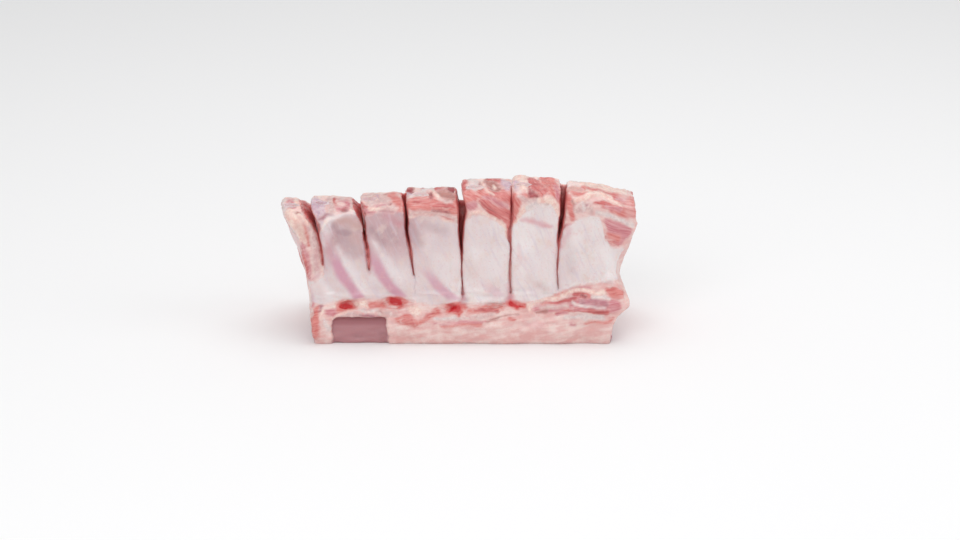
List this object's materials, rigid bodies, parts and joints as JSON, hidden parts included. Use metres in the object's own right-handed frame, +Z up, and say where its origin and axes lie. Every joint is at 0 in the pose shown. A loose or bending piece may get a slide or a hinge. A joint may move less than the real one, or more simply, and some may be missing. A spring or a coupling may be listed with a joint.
{
  "type": "rack of lamb",
  "caption": "Raw rack of lamb standing on its sawn chine with the ribs up, cut into chops from the top, with smooth membrane on the inner side and a fat cap behind.",
  "frame": {"origin": "middle of the footprint, on the surface the rack stands on", "axes": "+X along the spine towards the blunt muscle lobe, +Y from the inner rib side to the fat side, +Z up the ribs"},
  "size_m": [0.187, 0.064, 0.083],
  "materials": {
    "raw_flesh": "moist raw meat: pearly pink-white membrane, red-pink lean and cream fat, softly translucent",
    "sawn_bone": "sawn spongy bone, pink to mauve with red marrow, damp",
    "rib_bone": "sawn rib ends, greyish lilac-white with a redder marrow, damp"
  },
  "bodies": {
    "root": {"flesh": "raw_flesh", "chine_bone": "sawn_bone", "rib_bone_1": "rib_bone", "rib_bone_2": "rib_bone", "rib_bone_3": "rib_bone", "rib_bone_4": "rib_bone", "rib_bone_5": "rib_bone", "rib_bone_6": "rib_bone", "rib_bone_7": "rib_bone"}
  },
  "joints": []
}
